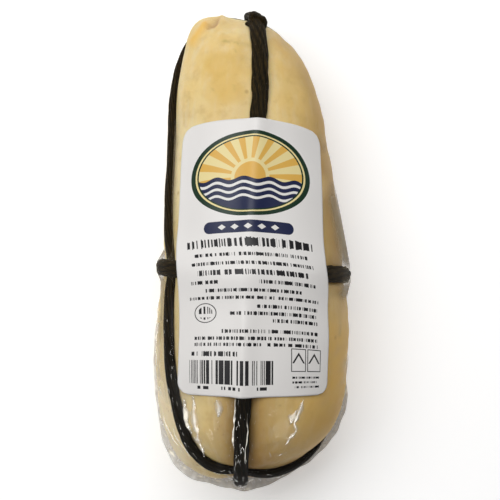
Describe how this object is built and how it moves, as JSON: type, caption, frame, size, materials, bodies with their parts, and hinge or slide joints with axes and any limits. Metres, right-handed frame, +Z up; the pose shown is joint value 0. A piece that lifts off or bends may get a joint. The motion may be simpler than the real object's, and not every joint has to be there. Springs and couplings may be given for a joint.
{
  "type": "smoked cheese",
  "caption": "Smoked cheese log, tied lengthwise and round its middle with dark cord, sealed in clear film, with a paper label on its front; it lies on its back.",
  "frame": {"origin": "centre of the bounding box at its lowest face, on what the cheese lies on", "axes": "+Z up, out of the labelled front; +Y along the log towards its narrow hitched end; +X to the right of the label"},
  "size_m": [0.077, 0.1902, 0.0726],
  "materials": {
    "cheese": "smooth smoked rind under tight clear film",
    "cord": "dark plant-fibre cord",
    "label": "semi-gloss coated paper"
  },
  "bodies": {
    "root": {"packed_cheese": "cheese", "cord_front_back": "cord", "cord_sides": "cord", "cord_girdle": "cord", "label": "label"}
  },
  "joints": []
}
